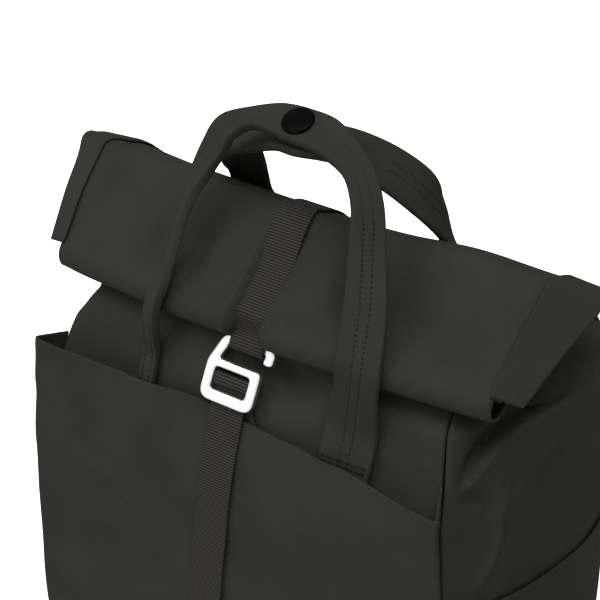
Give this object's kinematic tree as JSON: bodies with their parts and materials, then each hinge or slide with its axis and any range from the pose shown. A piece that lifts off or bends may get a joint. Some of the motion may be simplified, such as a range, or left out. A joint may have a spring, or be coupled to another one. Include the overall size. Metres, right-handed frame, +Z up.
{
  "type": "roll-top backpack",
  "caption": "Soft roll-top backpack with snapped carry handles, slip pockets and a webbing strap held by an open metal hook",
  "frame": {"origin": "on the flat underside of the base, midway between the two sides, on the surface that the pack stands on", "axes": "+X to the right seen from the front, +Y from the front pocket to the back panel, +Z up"},
  "size_m": [0.3778, 0.3051, 0.4873],
  "materials": {
    "cloth": "matte dark olive-grey coated woven polyester",
    "webbing": "ribbed dark grey polyester webbing",
    "hook_metal": "satin silver anodised aluminium",
    "stud_black": "gloss black lacquered press stud"
  },
  "bodies": {
    "root": {"front_panel": "cloth", "back_panel": "cloth", "gusset_left": "cloth", "gusset_right": "cloth", "base_panel": "cloth", "roll_top": "cloth", "roll_end_left": "cloth", "roll_end_right": "cloth", "front_pocket": "cloth", "side_pocket_left": "cloth", "side_pocket_right": "cloth", "front_handle": "cloth", "rear_handle": "cloth", "snap_cap": "stud_black", "snap_stud": "stud_black", "closure_strap": "webbing", "hook_buckle": "hook_metal", "tail_strap": "webbing", "shoulder_strap_left": "cloth", "shoulder_strap_right": "cloth", "strap_webbing_left": "webbing", "strap_webbing_right": "webbing"}
  },
  "joints": []
}
